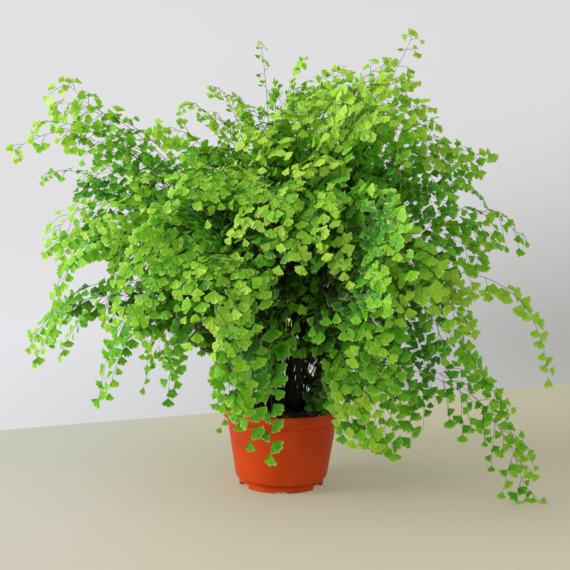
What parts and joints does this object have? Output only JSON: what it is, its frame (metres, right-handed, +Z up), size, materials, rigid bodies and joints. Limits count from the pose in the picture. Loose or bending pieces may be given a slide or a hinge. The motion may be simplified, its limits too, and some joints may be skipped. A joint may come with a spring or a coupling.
{
  "type": "potted maidenhair fern",
  "caption": "Bushy fern with small fan-shaped leaflets on wiry arching fronds, growing in a round nursery pot that stands free.",
  "frame": {"origin": "centre of the pot's foot, on the surface the pot stands on", "axes": "+Z up along the pot's axis, +X to the plant's right-hand side, -Y to its front"},
  "size_m": [0.6607, 0.4977, 0.5743],
  "materials": {
    "pot_plastic": "satin",
    "potting_mix": "matte",
    "leaf": "satin",
    "stipe": "satin"
  },
  "bodies": {
    "root": {"pot": "pot_plastic", "soil": "potting_mix", "rhizome": "stipe", "frond_01": "leaf", "frond_02": "leaf", "frond_03": "leaf", "frond_04": "leaf", "frond_05": "leaf", "frond_06": "leaf", "frond_07": "leaf", "frond_08": "leaf", "frond_09": "leaf", "frond_10": "leaf", "frond_11": "leaf", "frond_12": "leaf", "frond_13": "leaf", "frond_14": "leaf", "frond_15": "leaf", "frond_16": "leaf", "frond_17": "leaf", "frond_18": "leaf", "frond_19": "leaf", "frond_20": "leaf", "frond_21": "leaf", "frond_22": "leaf", "frond_23": "leaf", "frond_24": "leaf", "frond_25": "leaf", "frond_26": "leaf", "frond_27": "leaf", "frond_28": "leaf", "frond_29": "leaf", "frond_30": "leaf", "frond_31": "leaf", "frond_32": "leaf", "frond_33": "leaf", "frond_34": "leaf", "frond_35": "leaf", "frond_36": "leaf", "frond_37": "leaf", "frond_38": "leaf", "frond_39": "leaf", "frond_40": "leaf", "frond_41": "leaf", "frond_42": "leaf", "frond_43": "leaf", "frond_44": "leaf", "frond_45": "leaf", "frond_46": "leaf", "frond_47": "leaf", "frond_48": "leaf", "frond_49": "leaf", "frond_50": "leaf", "frond_51": "leaf", "frond_52": "leaf", "frond_53": "leaf", "frond_54": "leaf", "frond_55": "leaf", "frond_56": "leaf"}
  },
  "joints": []
}
